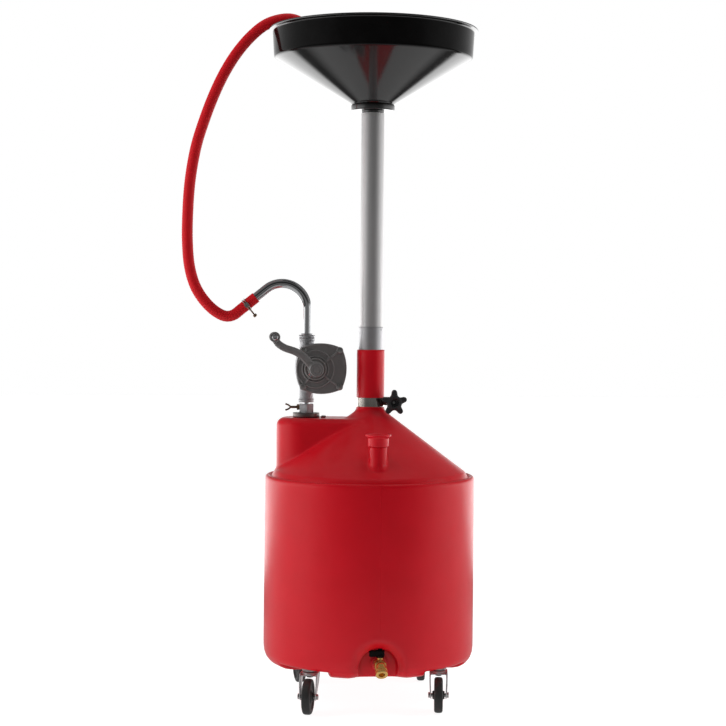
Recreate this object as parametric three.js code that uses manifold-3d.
// Upright waste-oil drain: tank on four casters, sliding mast with catch funnel,
// rotary hand pump with delivery hose, drain valve.
// Millimetres, +Z up, +X right; the valve side is the front and faces -Y.
// Heights in the code are above the floor; the model origin is the centre of the
// tank's flat underside.
import * as THREE from 'three'
import { mergeVertices } from 'three/addons/utils/BufferGeometryUtils.js'
import Module from 'manifold-3d'

const wasm = await Module()
wasm.setup()
const { Manifold, Mesh: ManifoldMesh } = wasm

const rad = (degrees) => (degrees * Math.PI) / 180

// ---------------------------------------------------------------- driving dimensions
const UNDERSIDE = 83 // tank underside above the floor
const TANK_R = 232
const WALL = 5.5
const NECK_R = 30.8
const NECK_BORE_R = 27.5
const NECK_TOP = 775
const PLATFORM_ANGLE = rad(170) // direction of the pump platform in plan
const PLATFORM_TOP = 623
const MAST_R = 25.4
const VALVE_X = 4
const VALVE_Z = 114
const CASTER_XY = 139 // king pins, both ways from the tank axis

const onPlatform = (distance) => [
  distance * Math.cos(PLATFORM_ANGLE),
  distance * Math.sin(PLATFORM_ANGLE),
]
const [BUNG_X, BUNG_Y] = onPlatform(143)
const [VENT_X, VENT_Y] = onPlatform(104)
const CORNERS = [[1, 1], [1, -1], [-1, 1], [-1, -1]] // signs of x and y

// ---------------------------------------------------------------- mesh and solid helpers
const WELD = 2e-3 // vertices closer than this are merged

// welds a geometry, drops collapsed triangles and turns the faces outward
function tidy(source) {
  const loose = source.index ? source.toNonIndexed() : source.clone()
  for (const key of Object.keys(loose.attributes)) {
    if (key !== 'position') loose.deleteAttribute(key)
  }
  const welded = mergeVertices(loose, WELD)
  const index = welded.index.array
  const vertex = (i) => new THREE.Vector3().fromBufferAttribute(welded.attributes.position, i)
  const faces = []
  let volume = 0
  for (let n = 0; n < index.length; n += 3) {
    const [i, j, k] = index.slice(n, n + 3)
    if (i === j || j === k || k === i) continue
    faces.push([i, j, k])
    volume += vertex(i).dot(vertex(j).cross(vertex(k)))
  }
  const outward = volume < 0 ? faces.map(([i, j, k]) => [j, i, k]) : faces
  welded.setIndex(outward.flat())
  return welded
}

// A part is either a BufferGeometry or a Manifold; these two convert as needed.
function toSolid(part) {
  if (!part.isBufferGeometry) return part
  const geo = tidy(part)
  return new Manifold(new ManifoldMesh({
    numProp: 3,
    vertProperties: new Float32Array(geo.attributes.position.array),
    triVerts: new Uint32Array(geo.index.array),
  }))
}
function toGeometry(part) {
  if (part.isBufferGeometry) return part
  const { numProp, vertProperties, triVerts } = part.getMesh()
  const positions = []
  for (let i = 0; i < vertProperties.length; i += numProp) {
    positions.push(vertProperties[i], vertProperties[i + 1], vertProperties[i + 2])
  }
  const geo = new THREE.BufferGeometry()
  geo.setAttribute('position', new THREE.Float32BufferAttribute(positions, 3))
  geo.setIndex(Array.from(triVerts))
  return geo
}
const union = (...parts) => parts.map(toSolid).reduce((sum, part) => sum.add(part))
const cut = (...parts) => parts.map(toSolid).reduce((rest, tool) => rest.subtract(tool))

const move = (part, x, y, z) => toGeometry(part).translate(x, y, z)
// tips local +Z to -Y and local +Y to +Z
const front = (part) => toGeometry(part).rotateX(Math.PI / 2)
// turns local +Z to the given direction
function along(part, x, y, z) {
  const direction = new THREE.Vector3(x, y, z).normalize()
  const turn = new THREE.Quaternion().setFromUnitVectors(new THREE.Vector3(0, 0, 1), direction)
  return toGeometry(part).applyQuaternion(turn)
}

// ---------------------------------------------------------------- shape helpers
// turned about Z from [radius, height] points
function lathe(profile, segments) {
  const points = profile.map(([r, z]) => new THREE.Vector2(r, z))
  return new THREE.LatheGeometry(points, segments).rotateX(Math.PI / 2)
}
// the same, from a profile that closes on itself
const ring = (profile, segments) => lathe([...profile, profile[0]], segments)
const tube = (inner, outer, z0, z1, segments) =>
  ring([[inner, z0], [outer, z0], [outer, z1], [inner, z1]], segments)
const rod = (r, z0, z1, segments) => lathe([[0, z0], [r, z0], [r, z1], [0, z1]], segments)
const yRod = (r, y0, y1, x, z, segments) => move(front(rod(r, -y1, -y0, segments)), x, 0, z)

const box = (x0, x1, y0, y1, z0, z1) =>
  new THREE.BoxGeometry(x1 - x0, y1 - y0, z1 - z0)
    .translate((x0 + x1) / 2, (y0 + y1) / 2, (z0 + z1) / 2)

function circle(r, count, x = 0, y = 0, start = 0) {
  return Array.from({ length: count }, (_, i) => {
    const angle = start + (2 * Math.PI * i) / count
    return [x + r * Math.cos(angle), y + r * Math.sin(angle)]
  })
}
function shape(outline, holes) {
  const vectors = (points) => points.map(([x, y]) => new THREE.Vector2(x, y))
  const result = new THREE.Shape(vectors(outline))
  result.holes = holes.map((hole) => new THREE.Path(vectors(hole)))
  return result
}
const NO_BEVEL = { height: 0, inset: 0, segments: 0 }
// plan outline raised from z0 to z1; a bevel stays inside the outline
function prism(outline, z0, z1, { holes = [], bevel = NO_BEVEL } = {}) {
  return new THREE.ExtrudeGeometry(shape(outline, holes), {
    depth: z1 - z0 - 2 * bevel.height,
    bevelEnabled: bevel.height > 0,
    bevelThickness: bevel.height,
    bevelSize: bevel.inset,
    bevelOffset: -bevel.inset,
    bevelSegments: bevel.segments,
  }).translate(0, 0, z0 + bevel.height)
}
// upright prism: outline x is X, outline y is Z
const plate = (outline, y0, y1, options) =>
  move(front(prism(outline, 0, y1 - y0, options)), 0, y1, 0)
const hex = (acrossFlats, z0, z1, start = 0) =>
  prism(circle(acrossFlats / 2 / Math.cos(Math.PI / 6), 6, 0, 0, start), z0, z1)
const sweep = (path, outline, steps, holes = []) =>
  new THREE.ExtrudeGeometry(shape(outline, holes), {
    steps, bevelEnabled: false, extrudePath: path,
  })

// ---------------------------------------------------------------- finishes and group
const FINISHES = {
  tank: { color: 0xa5121f, roughness: 0.38, metalness: 0 },
  cap: { color: 0xb01c28, roughness: 0.4, metalness: 0 },
  black: { color: 0x161617, roughness: 0.3, metalness: 0 },
  knob: { color: 0x242426, roughness: 0.5, metalness: 0 },
  alu: { color: 0xb9b9bd, roughness: 0.4, metalness: 0.9 },
  steel: { color: 0xc9c9cc, roughness: 0.25, metalness: 1 },
  cast: { color: 0x56524f, roughness: 0.6, metalness: 0.5 },
  brass: { color: 0xc08f3e, roughness: 0.3, metalness: 1 },
  bronze: { color: 0x8a6a45, roughness: 0.45, metalness: 0.9 },
  light: { color: 0xb8b8bd, roughness: 0.5, metalness: 0 },
  rubber: { color: 0x1c1c1d, roughness: 0.8, metalness: 0 },
  hose: { color: 0xb01a22, roughness: 0.45, metalness: 0 },
  zinc: { color: 0xa9a8a6, roughness: 0.4, metalness: 0.9 },
}
const group = new THREE.Group()
group.name = 'upright_oil_drain'

function put(name, part, finish) {
  const geo = tidy(toGeometry(part)).translate(0, 0, -UNDERSIDE)
  geo.computeVertexNormals()
  const mesh = new THREE.Mesh(geo, new THREE.MeshStandardMaterial(FINISHES[finish]))
  mesh.name = name
  group.add(mesh)
}

// ---------------------------------------------------------------- tank
const PLATFORM_HALF = 65
const PLATFORM_R = 208 // outer end, from the tank axis
const PLATFORM_CORNER = 50
const NICHE_HALF = 47
const NICHE_TOP = 156
const NICHE_BACK = -185
const NICHE_FRONT = -270 // clear of the tank wall
const PAD_XY = 102 // inner edges of the caster recesses
const PAD_Z = 96
const PORT_Y = -170

// [radius, height], from the underside up to the neck
const tankOuter = lathe([
  [0, UNDERSIDE], [202, UNDERSIDE], [221.5, 89.5], [230.5, 105], [233, 124], [TANK_R, 486],
  [228, 495.8], [213.5, 495.2], [211, 507.5],
  [37, 634.6], [NECK_R, 643], [NECK_R, NECK_TOP], [0, NECK_TOP],
], 36)
const tankInner = lathe([
  [0, UNDERSIDE + WALL], [200, UNDERSIDE + WALL], [217.3, 94.4], [225, 107.6], [227.4, 125],
  [TANK_R - WALL, 483], [222.8, 490], [208, 491.5], [205.4, 504.6],
  [NECK_BORE_R, 634.4], [NECK_BORE_R, NECK_TOP + 5], [0, NECK_TOP + 5],
], 36)

// plan of the pump platform along +X: straight sides, round corners, curved end
function platformOutline(grow) {
  const half = PLATFORM_HALF + grow
  const corner = PLATFORM_CORNER + grow
  const cornerY = half - corner
  const cornerX = Math.sqrt((PLATFORM_R + grow - corner) ** 2 - cornerY ** 2)
  const endAngle = Math.atan2(cornerY, cornerX)
  const cornerArc = [0, 1, 2, 3, 4, 5].map((i) => {
    const angle = Math.PI / 2 + (endAngle - Math.PI / 2) * (i / 5)
    return [cornerX + corner * Math.cos(angle), cornerY + corner * Math.sin(angle)]
  })
  const endArc = [1, 2, 3].map((i) => {
    const angle = endAngle - (2 * endAngle * i) / 4
    return [(PLATFORM_R + grow) * Math.cos(angle), (PLATFORM_R + grow) * Math.sin(angle)]
  })
  const mirrored = cornerArc.map(([x, y]) => [x, -y]).reverse()
  return [[0, -half], [0, half], ...cornerArc, ...endArc, ...mirrored].reverse()
}
function platform(grow, z0, z1, edge) {
  const bevel = { height: edge, inset: edge, segments: 2 }
  return prism(platformOutline(grow), z0, z1, { bevel }).rotateZ(PLATFORM_ANGLE)
}

// round-topped valve niche, open at the bottom
function niche(grow, back) {
  const r = NICHE_HALF + grow
  const outline = [[-r, 60], [r, 60]]
  for (let i = 0; i <= 12; i++) {
    const angle = (Math.PI * i) / 12
    outline.push([r * Math.cos(angle), NICHE_TOP - NICHE_HALF + r * Math.sin(angle)])
  }
  return plate(outline, NICHE_FRONT, back)
}

// square recesses over the casters
function casterRecesses(grow) {
  const span = (sign) => [sign * (PAD_XY - grow), sign * 300].sort((a, b) => a - b)
  return CORNERS.map(([sx, sy]) => box(...span(sx), ...span(sy), 60, PAD_Z + grow))
}
const overCasters = (r, z0, z1) =>
  CORNERS.map(([sx, sy]) => move(rod(r, z0, z1, 10), sx * CASTER_XY, sy * CASTER_XY, 0))

const portNeck = lathe([
  [0, 505], [24, 505], [23.4, 526], [19.4, 539], [19.4, 572.4], [16.4, 572.4],
  [16.4, 588], [0, 588],
], 20)
const body = union(tankOuter, platform(0, 455, PLATFORM_TOP, 14), move(portNeck, 0, PORT_Y, 0))
const hollow = cut(
  union(tankInner, platform(-WALL, 458, PLATFORM_TOP - WALL, 11)),
  niche(WALL, NICHE_BACK + WALL),
  ...casterRecesses(WALL),
  ...overCasters(11, 91, 113), // bosses round the king pins
)
put('tank', cut(
  body,
  niche(0, NICHE_BACK),
  niche(7, -224), // wider step at the mouth of the niche
  ...casterRecesses(0),
  hollow,
  move(rod(13, 490, 604, 16), 0, PORT_Y, 0),
  move(rod(16, 600, 640, 20), BUNG_X, BUNG_Y, 0),
  move(rod(4, 600, 640, 12), VENT_X, VENT_Y, 0),
  yRod(10.4, NICHE_BACK - 15, NICHE_BACK + 15, VALVE_X, VALVE_Z, 16),
  ...overCasters(5, 86, 108),
), 'tank')

put('port_cap', move(ring([
  [0, 591], [16.9, 591], [16.9, 572.9], [23, 572.9], [23, 592.6], [28, 594.4], [28, 598],
  [23, 598.8], [18, 596.6], [0, 596.6],
], 20), 0, PORT_Y, 0), 'cap')

// ---------------------------------------------------------------- mast, bushing, stop
const MAST_BOTTOM = 420
put('neck_bushing', tube(MAST_R + 0.35, NECK_BORE_R - 0.35, 660, 825.5, 28), 'light')
put('mast_tube', tube(MAST_R - 1.65, MAST_R, MAST_BOTTOM, 1297.7, 28), 'alu')
put('mast_stop', tube(MAST_R + 0.3, 27, MAST_BOTTOM + 1, MAST_BOTTOM + 12, 28), 'black')

// ---------------------------------------------------------------- neck clamp
const CLAMP_X = 49
const CLAMP_Z = 659
const GAP_HALF = 3.5 // half the gap between the band's ears
const EAR_Y = 5.5 // outer face of each ear
// local +Z runs out along the bolt toward the front
const onClampBolt = (part) => move(front(part), CLAMP_X, 0, CLAMP_Z)

put('clamp_band', cut(
  union(
    cut(tube(NECK_R + 0.35, 32.7, 649, 669, 36), box(20, 50, -GAP_HALF, GAP_HALF, 600, 700)),
    box(31.6, 60, GAP_HALF, EAR_Y, 651.5, 670),
    box(31.6, 60, -EAR_Y, -GAP_HALF, 651.5, 670),
  ),
  onClampBolt(rod(4.3, -10, 10, 14)),
), 'steel')
put('clamp_bolt', onClampBolt(union(rod(4, -5.8, 40, 14), hex(13, -11, -5.8))), 'steel')
put('clamp_washer', onClampBolt(tube(4.3, 8.5, 5.9, 7.5, 20)), 'steel')

// one lobe of the five-lobed knob: [degrees from the lobe's middle, radius]
const LOBE = [[-36, 14.6], [-17, 17.6], [-9.5, 25.6], [0, 28.6], [9.5, 25.6], [17, 17.6]]
const starOutline = [0, 1, 2, 3, 4].flatMap((i) => LOBE.map(([degrees, r]) => {
  const angle = rad(90 + 72 * i + degrees)
  return [r * Math.cos(angle), r * Math.sin(angle)]
}))
put('clamp_knob', onClampBolt(cut(
  union(
    prism(starOutline, 33.5, 48, { bevel: { height: 3, inset: 2.4, segments: 1 } }),
    lathe([[0, 7.9], [9.5, 7.9], [11, 30], [13, 34], [0, 34]], 20),
  ),
  rod(4.4, 0, 44, 14),
  lathe([[0, 44], [8.5, 44], [10.5, 52], [0, 52]], 20),
)), 'knob')

// ---------------------------------------------------------------- funnel
// [radius, height]: outside from the rim down to the spigot, then back up the inside
put('funnel', ring([
  [225, 1480], [231, 1478], [231, 1472.6], [222.2, 1470.5],
  [219.5, 1416], [48.5, 1317.4], [46, 1315.4], [24.8, 1315.4],
  [24.8, 1298], [23.3, 1298], [23.3, 1268], [20.5, 1268],
  [20.5, 1319.5], [45, 1319.5], [48, 1320.6], [216.2, 1418], [219.2, 1475], [221, 1480],
], 36), 'black')
put('funnel_collar', ring([
  [MAST_R, 1302.5], [48.3, 1302.5], [48.3, 1315.1], [MAST_R, 1315.1],
], 28), 'black')

// strainer hole circles: [radius, count, start angle in radians]
const HOLE_CIRCLES = [[15, 6, 0], [29, 12, 0.1]]
const strainerHoles = HOLE_CIRCLES.flatMap(([r, count, start]) =>
  circle(r, count, 0, 0, start).map(([x, y]) => circle(3, 5, x, y)))
put('funnel_strainer', union(
  prism(circle(40, 24), 1319.8, 1321.6, { holes: strainerHoles }),
  rod(4, 1321, 1331, 10),
  rod(6.5, 1330, 1334, 10),
), 'zinc')

// ---------------------------------------------------------------- bung, suction tube, vent
const THUMB_SCREW_Z = 645.5
const atBung = (part, z = 0) => move(part, BUNG_X, BUNG_Y, z)

put('bung_gasket', atBung(tube(16.2, 29, PLATFORM_TOP + 0.2, PLATFORM_TOP + 1.2, 24)), 'rubber')
put('bung_adapter', atBung(cut(
  union(
    hex(30, 633, 653, rad(30)),
    lathe([[0, PLATFORM_TOP + 1.5], [30, PLATFORM_TOP + 1.5], [30, 631.4], [28, 633.2],
      [0, 633.2]], 28),
    rod(15.6, 601, PLATFORM_TOP + 2, 20),
  ),
  rod(8.4, 590, 660, 16),
  move(along(rod(3.2, 0, 30, 12), -1, 0, 0), 0, 0, THUMB_SCREW_Z),
)), 'zinc')

const wing = prism([
  [0, -2.6], [6, -3.4], [11, -7.4], [14, -7.4], [15, -5.4], [10, 0],
  [15, 5.4], [14, 7.4], [11, 7.4], [6, 3.4], [0, 2.6],
], -1.3, 1.3)
put('bung_thumb_screw', atBung(union(
  along(rod(2.8, 8.8, 36, 12), -1, 0, 0),
  along(rod(6, 15.4, 21.4, 12), -1, 0, 0),
  move(front(wing).rotateZ(Math.PI), -31, 0, 0),
), THUMB_SCREW_Z), 'bronze')
put('suction_tube', atBung(tube(6.8, 8, 100, 668, 20)), 'steel')
put('vent_plug', move(union(
  rod(3.6, 613, 624, 12),
  lathe([[0, PLATFORM_TOP + 0.3], [5.6, PLATFORM_TOP + 0.3], [5.6, 626], [4, 627.4],
    [0, 627.4]], 14),
), VENT_X, VENT_Y, 0), 'knob')

// ---------------------------------------------------------------- pump housing
const PUMP_X = -110.5
const PUMP_Z = 732.4
const SHAFT_X = -123.9 // the shaft is off the chamber's axis
const SHAFT_Z = 731.4
const CHAMBER_R = 42
const COVER_Y = BUNG_Y - 41 // front plane of the cover
const BOLT_XZ = 40.5 // cover bolts, both ways from the pump axis

const atPump = (part) => move(part, PUMP_X, 0, PUMP_Z)
// local +Z runs forward along the shaft from the cover plane
const onShaft = (part) => move(front(part), SHAFT_X, COVER_Y, SHAFT_Z)
const bolts = CORNERS.map(([sx, sz]) => [sx * BOLT_XZ, sz * BOLT_XZ])
const boltRods = (r, y0, y1, segments) =>
  bolts.map(([x, z]) => yRod(r, y0, y1, PUMP_X + x, PUMP_Z + z, segments))

// square with bulged sides and small corners
function pumpOutline(grow) {
  const half = 47.5 + grow
  const bulge = 8.5
  const corner = 7
  const side = [0, 1, 2, 3, 4, 5, 6].map((i) => {
    const s = -1 + (2 * i) / 6
    return [half + bulge * (1 - s * s), s * (half - corner)]
  })
  side.push([half - corner * 0.29, half - corner * 0.29])
  return [0, 1, 2, 3].flatMap((quarter) => {
    const cos = Math.cos((quarter * Math.PI) / 2)
    const sin = Math.sin((quarter * Math.PI) / 2)
    return side.map(([x, y]) => [x * cos - y * sin, x * sin + y * cos])
  })
}

put('pump_body', cut(
  union(
    atPump(plate(pumpOutline(-1), COVER_Y + 10.8, COVER_Y + 72,
      { bevel: { height: 3, inset: 3, segments: 1 } })),
    // lower and upper sockets
    atBung(lathe([[0, 656.5], [17.7, 656.5], [17.7, 663], [16.2, 665], [16.2, 700],
      [0, 700]], 18)),
    atBung(lathe([[0, 750], [16.2, 750], [16.2, 791], [17.7, 793], [17.7, 799.4],
      [0, 799.4]], 18)),
  ),
  yRod(CHAMBER_R, COVER_Y, COVER_Y + 62, PUMP_X, PUMP_Z, 26),
  atBung(rod(8.4, 640, 720, 16)),
  atBung(rod(9, 740, 790, 16)),
  atBung(rod(10.8, 785, 810, 20)),
  yRod(7.5, COVER_Y + 55, COVER_Y + 68, SHAFT_X, SHAFT_Z, 14),
  ...boltRods(3, COVER_Y, COVER_Y + 35, 8),
), 'cast')
const gasketHoles = [circle(CHAMBER_R, 24), ...bolts.map(([x, z]) => circle(3.3, 8, x, z))]
put('pump_cover_gasket', atPump(
  plate(pumpOutline(-1), COVER_Y + 9.9, COVER_Y + 10.5, { holes: gasketHoles }),
), 'rubber')

// cover with a shaft boss and a rib from it to each bolt boss
const ribs = bolts.map(([x, z]) => {
  const runX = PUMP_X + x - SHAFT_X
  const runZ = PUMP_Z + z - SHAFT_Z
  const rib = box(20, Math.hypot(runX, runZ) - 6, -2.6, 2.6, -1, 7)
  return move(front(rib.rotateZ(Math.atan2(runZ, runX))), SHAFT_X, COVER_Y + 2, SHAFT_Z)
})
put('pump_cover', cut(
  union(
    atPump(plate(pumpOutline(0), COVER_Y, COVER_Y + 9.6,
      { bevel: { height: 2, inset: 2, segments: 1 } })),
    yRod(25, COVER_Y - 8, COVER_Y + 3, SHAFT_X, SHAFT_Z, 22),
    ...ribs,
    ...boltRods(7.4, COVER_Y - 3, COVER_Y + 3, 10),
  ),
  yRod(7.6, COVER_Y - 20, COVER_Y + 20, SHAFT_X, SHAFT_Z, 16),
  yRod(10.6, COVER_Y - 20, COVER_Y + 1, SHAFT_X, SHAFT_Z, 18),
  ...boltRods(3.3, COVER_Y - 20, COVER_Y + 20, 8),
), 'cast')
bolts.forEach(([x, z], i) => {
  const bolt = front(union(rod(2.7, -33, 4, 10), hex(9.4, 3.3, 7.6)))
  put(`pump_bolt_${i + 1}`, move(bolt, PUMP_X + x, COVER_Y, PUMP_Z + z), 'steel')
})
put('shaft_gland_nut', onShaft(cut(
  union(rod(10.2, -0.5, 9, 18), hex(24, 8.4, 14)),
  rod(7.4, -5, 20, 16),
)), 'brass')

// ---------------------------------------------------------------- rotor and vanes
const ROTOR_BACK = -61.2 // local, along the shaft
const ROTOR_FRONT = -11.2
const VANE_ANGLES = [0, Math.PI]
put('pump_rotor', onShaft(cut(
  union(rod(28, ROTOR_BACK, ROTOR_FRONT, 26), rod(7, -66, 40, 16)),
  ...VANE_ANGLES.map((angle) =>
    box(12, 40, -2.2, 2.2, ROTOR_BACK - 1, ROTOR_FRONT + 1).rotateZ(angle)),
)), 'steel')
VANE_ANGLES.forEach((angle, i) => {
  const vane = box(12.4, 27.9, -1.9, 1.9, ROTOR_BACK + 0.2, ROTOR_FRONT - 0.2)
  put(`pump_vane_${i + 1}`, onShaft(vane.rotateZ(angle)), 'cast')
})

// ---------------------------------------------------------------- crank
const CRANK_THROW = 118
const CRANK_ANGLE = rad(143)
const HUB_BACK = COVER_Y - 15
const HUB_FRONT = COVER_Y - 45
const HUB_MID = (HUB_BACK + HUB_FRONT) / 2
const crankCos = Math.cos(CRANK_ANGLE)
const crankSin = Math.sin(CRANK_ANGLE)
const EYE_X = CRANK_THROW * crankCos // grip axis, from the shaft
const EYE_Z = CRANK_THROW * crankSin
// arm centreline: [distance from the shaft, sideways offset, y]
const ARM_STATIONS = [
  [6, 0, -50], [20, -1.5, -51], [42, -5, -54], [61, -3, -58],
  [87, 5.2, -61.6], [106, 5.2, -62.2], [117, 0, -62.2],
]
const armPath = new THREE.CatmullRomCurve3(ARM_STATIONS.map(([distance, offset, y]) =>
  new THREE.Vector3(
    distance * crankCos - offset * crankSin,
    y,
    distance * crankSin + offset * crankCos,
  )))
const armSection = circle(1, 8).map(([x, y]) => [x * 5.4, y * 8.6])
const SET_SCREW = [Math.cos(rad(225)), 0, Math.sin(rad(225))] // direction out of the hub

put('crank_arm', move(cut(
  union(
    sweep(armPath, armSection, 10),
    yRod(15.7, HUB_FRONT, HUB_BACK, 0, 0, 20),
    yRod(9.8, -67.6, -56.8, EYE_X, EYE_Z, 14),
  ),
  yRod(7.3, HUB_FRONT + 4.4, 30, 0, 0, 16),
  yRod(4, -80, -45, EYE_X, EYE_Z, 12),
  move(along(rod(3.3, 5, 30, 12), ...SET_SCREW), 0, HUB_MID, 0),
), SHAFT_X, 0, SHAFT_Z), 'cast')
put('crank_set_screw', move(along(
  lathe([[0, 7.5], [3, 7.5], [3, 16], [4.6, 16], [4.6, 19], [0, 19]], 12),
  ...SET_SCREW,
), SHAFT_X, HUB_MID, SHAFT_Z), 'steel')

const atGrip = (part) => move(front(part), SHAFT_X + EYE_X, 0, SHAFT_Z + EYE_Z)
put('crank_grip', atGrip(ring([
  [4.2, 68.2], [9.5, 68.2], [11, 70.6], [8.6, 77.6], [9.4, 105.6], [11.6, 111.6],
  [10.4, 115], [4.2, 115],
], 14)), 'cast')
put('grip_bolt', atGrip(union(rod(3.7, 57.2, 116.6, 12), rod(6.6, 115.5, 118.6, 14))), 'steel')

// ---------------------------------------------------------------- delivery pipe
const BEND_Z = 864.5
const BEND_R = 55.5
const BEND_ANGLE = rad(129)
const LEFT = new THREE.Vector3(-0.9945, 0.1045, 0) // the bend's direction in plan
const UP = new THREE.Vector3(0, 0, 1)

// upright arc that starts vertical and turns over toward LEFT
class Bend extends THREE.Curve {
  getPoint(t, target = new THREE.Vector3()) {
    const angle = BEND_ANGLE * t
    return target.set(BUNG_X, BUNG_Y, BEND_Z)
      .addScaledVector(LEFT, BEND_R * (1 - Math.cos(angle)))
      .addScaledVector(UP, BEND_R * Math.sin(angle))
  }
}
const bend = new Bend()
const outward = LEFT.clone().multiplyScalar(Math.sin(BEND_ANGLE))
  .addScaledVector(UP, Math.cos(BEND_ANGLE))
const pastBend = (distance) => bend.getPoint(1).addScaledVector(outward, distance)

const pipePath = new THREE.CurvePath()
pipePath.add(new THREE.LineCurve3(new THREE.Vector3(BUNG_X, BUNG_Y, 786), bend.getPoint(0)))
pipePath.add(bend)
pipePath.add(new THREE.LineCurve3(pastBend(0), pastBend(66)))
put('gooseneck', sweep(pipePath, circle(10.4, 12), 18, [circle(8.9, 12)]), 'steel')
put('outlet_nut', atBung(ring([
  [10.8, 799.7], [18.3, 799.7], [18.3, 805.8], [12.6, 806.2], [12.6, 809.6], [10.8, 809.6],
], 24)), 'zinc')

// ---------------------------------------------------------------- hose
// the hose first follows the pipe's end, at these distances past the bend
const CUFF_DISTANCES = [30, 40, 50, 58, 66, 72]
// then runs over the funnel rim at the left and down into the bowl: [x, y, z]
const HOSE_STATIONS = [
  [-304.4, 41.5, 848.8], [-320.5, 42.3, 846.3], [-341.7, 42.1, 855.6], [-367, 41.7, 878.8],
  [-388, 41.3, 911.2], [-401, 40.9, 953.3], [-406.5, 40.3, 1009.4], [-406, 39.5, 1079.3],
  [-401, 38.8, 1149.3], [-389, 38.1, 1219.6], [-375.3, 37.6, 1266.7], [-351.2, 36.8, 1332.7],
  [-327.4, 36.2, 1384], [-300.2, 35.7, 1428.5], [-268.7, 35.1, 1466.2], [-237.8, 34.7, 1491.8],
  [-206, 34.3, 1504], [-178.4, 34.1, 1505.7], [-156.8, 33.8, 1497.2], [-141, 33.6, 1480.5],
  [-131.5, 33.3, 1457], [-127.5, 33, 1434],
]
const hosePath = new THREE.CatmullRomCurve3([
  ...CUFF_DISTANCES.map(pastBend),
  ...HOSE_STATIONS.map((point) => new THREE.Vector3(...point)),
])
put('hose', sweep(hosePath, circle(12.5, 10), 50, [circle(11.1, 10)]), 'hose')

// Clamp frame: x to the front, z along the hose; the screw lies across the front of
// the hose with its head to the lower right.
const lowerRight = new THREE.Vector3().crossVectors(outward, new THREE.Vector3(0, 1, 0))
  .normalize()
const forward = new THREE.Vector3().crossVectors(outward, lowerRight).normalize()
const clampFrame = new THREE.Matrix4()
  .makeBasis(forward, lowerRight.clone().negate(), outward)
  .setPosition(pastBend(56))
const onClampScrew = (part) => move(along(part, 0, 1, 0), 15.9, 0, 0)
const hoseClamp = cut(
  union(tube(13, 14.6, -3.2, 3.2, 16), box(12.8, 18, -4, 4, -3.2, 3.2)),
  onClampScrew(rod(2.1, -10, 10, 10)),
)
const hoseScrew = onClampScrew(union(rod(1.8, -28, 8, 10), rod(4.2, -33, -27.5, 12)))
put('hose_clamp', toGeometry(hoseClamp).applyMatrix4(clampFrame), 'zinc')
put('hose_clamp_screw', hoseScrew.applyMatrix4(clampFrame), 'bronze')

// ---------------------------------------------------------------- drain valve
const BALL_Y = -208
const ELBOW_Y = -228
const VALVE_BORE_R = 6
const NOZZLE_BACK = 222.4 // distance in front of the tank axis
const atValve = (part, y = 0) => move(part, VALVE_X, y, VALVE_Z)
const atBall = (part) => move(part, 0, BALL_Y, 0)
const atElbow = (part) => move(part, 0, ELBOW_Y, 0)

put('drain_fitting', atValve(front(cut(
  union(rod(10, 170, 190, 16), rod(17, 185.6, 189.6, 24), hex(22, 189, 194)),
  rod(VALVE_BORE_R, 160, 200, 14),
))), 'steel')
put('valve_body', atValve(cut(
  union(
    front(lathe([[0, 194.4], [10.5, 194.4], [10.5, 199], [13.4, 201], [13.4, 215],
      [10.5, 217.5], [10.5, 222], [0, 222]], 16)),
    atBall(rod(8, 0, 16.5, 16)),
  ),
  front(rod(VALVE_BORE_R, 190, 230, 14)),
  atBall(rod(2.8, 0, 30, 12)),
  atBall(new THREE.SphereGeometry(9.9, 14, 8)),
)), 'brass')
// the ball's bore lies along X, across the valve; the slot on top takes the stem
put('valve_ball', atValve(cut(
  new THREE.SphereGeometry(9.2, 12, 8),
  along(rod(5.4, -20, 20, 10), 1, 0, 0),
  box(-10, 10, -1.4, 1.4, 7.4, 12),
), BALL_Y), 'steel')
put('valve_stem', atValve(union(
  rod(2.5, 9.8, 32.5, 12),
  box(-1.8, 1.8, -1.1, 1.1, 7.7, 10.4),
), BALL_Y), 'brass')
put('valve_lever', atValve(cut(
  union(box(-23, 9, -6.5, 6.5, 18, 31), rod(8.6, 16.9, 24, 18)),
  rod(2.8, 0, 40, 12),
), BALL_Y), 'black')
put('valve_lever_nut', atValve(cut(hex(8, 31.3, 35), rod(2.7, 20, 40, 12)), BALL_Y), 'steel')

// outlet elbow turned down and forward
const NOZZLE = [0, -Math.cos(rad(40)), -Math.sin(rad(40))]
const nozzleSpout = lathe([[0, 0], [10.2, 0], [10.2, 7], [12.9, 10], [12.9, 22], [0, 22]], 16)
put('drain_nozzle', atValve(cut(
  union(
    front(rod(10.4, NOZZLE_BACK, -ELBOW_Y, 14)),
    atElbow(new THREE.SphereGeometry(10.4, 12, 8)),
    atElbow(along(nozzleSpout, ...NOZZLE)),
  ),
  front(rod(VALVE_BORE_R, 215, -ELBOW_Y, 14)),
  atElbow(new THREE.SphereGeometry(VALVE_BORE_R, 10, 6)),
  atElbow(along(rod(VALVE_BORE_R, 0, 40, 12), ...NOZZLE)),
  box(-30, 30, -NOZZLE_BACK, -180, -30, 30), // trims the sphere flush at the back
)), 'brass')

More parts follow.
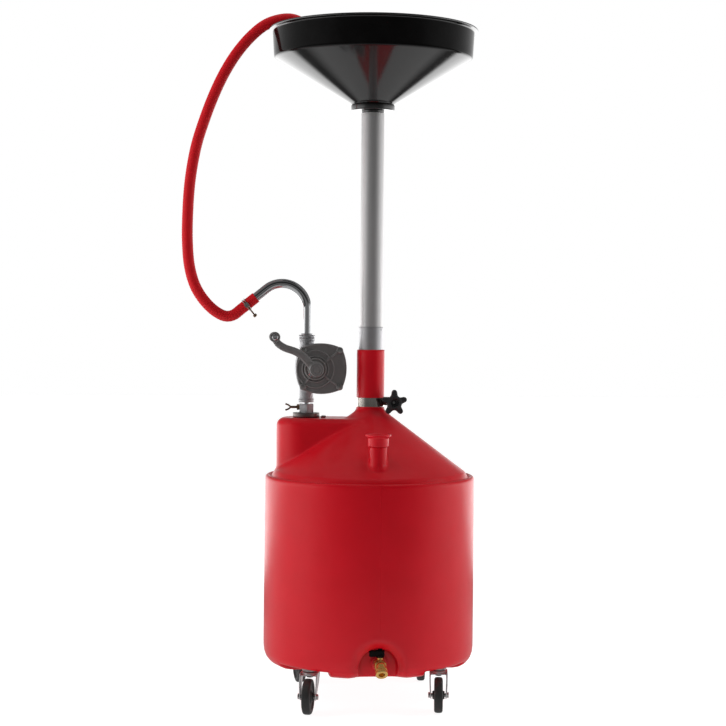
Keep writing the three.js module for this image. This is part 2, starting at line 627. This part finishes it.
// ---------------------------------------------------------------- casters
const WHEEL_R = 38
const TREAD_Y = 18.5 / 2
const HUB_Y = 13.5
const TRAIL = 22
// [sign of x, sign of y, trail direction x, trail direction y]
const CASTERS = {
  fl: [-1, -1, -0.24, -0.97],
  fr: [1, -1, -0.13, -0.99],
  rl: [-1, 1, -0.15, 0.989],
  rr: [1, 1, 0.096, 0.995],
}
const CHEEK = [[-15, 82.4], [20, 82.4], [30, 36], [26, 30.5], [19, 30.5], [14, 36]] // [x, z]
const onAxle = (part) => move(front(part), TRAIL, 0, WHEEL_R)

// local +X is the trail direction, the king pin is on local Z
const casterPlate = () => union(
  prism(circle(17.5, 14), 93, 95.7),
  rod(4.6, 78, 107.5, 8),
  lathe([[0, 88.3], [14, 88.3], [16, 93.2], [0, 93.2]], 12),
  rod(7, 75.6, 78.4, 8),
)
const casterFork = () => cut(
  union(
    rod(17.5, 80, 88, 14),
    box(-15, 20, -19, 19, 80, 82.4),
    plate(CHEEK, 16.6, 19),
    plate(CHEEK, -19, -16.6),
  ),
  rod(5, 70, 110, 8),
  yRod(4.2, -30, 30, TRAIL, WHEEL_R, 8),
)
const casterAxle = () =>
  onAxle(union(rod(3.8, -22, 22, 8), rod(6.5, 19.3, 22.5, 8), rod(6.5, -22.5, -19.3, 8)))
const casterWheel = () => onAxle(ring([
  [4.1, -HUB_Y], [11, -HUB_Y], [11, -TREAD_Y], [WHEEL_R - 2, -TREAD_Y], [WHEEL_R, -6.5],
  [WHEEL_R, 6.5], [WHEEL_R - 2, TREAD_Y], [11, TREAD_Y], [11, HUB_Y], [4.1, HUB_Y],
], 22))

for (const [corner, [sx, sy, trailX, trailY]] of Object.entries(CASTERS)) {
  const putCaster = (piece, part, finish) => {
    const turned = toGeometry(part).rotateZ(Math.atan2(trailY, trailX))
    put(`caster_${corner}_${piece}`, move(turned, sx * CASTER_XY, sy * CASTER_XY, 0), finish)
  }
  putCaster('plate', casterPlate(), 'zinc')
  putCaster('fork', casterFork(), 'steel')
  putCaster('axle', casterAxle(), 'steel')
  putCaster('wheel', casterWheel(), 'rubber')
}

export default group
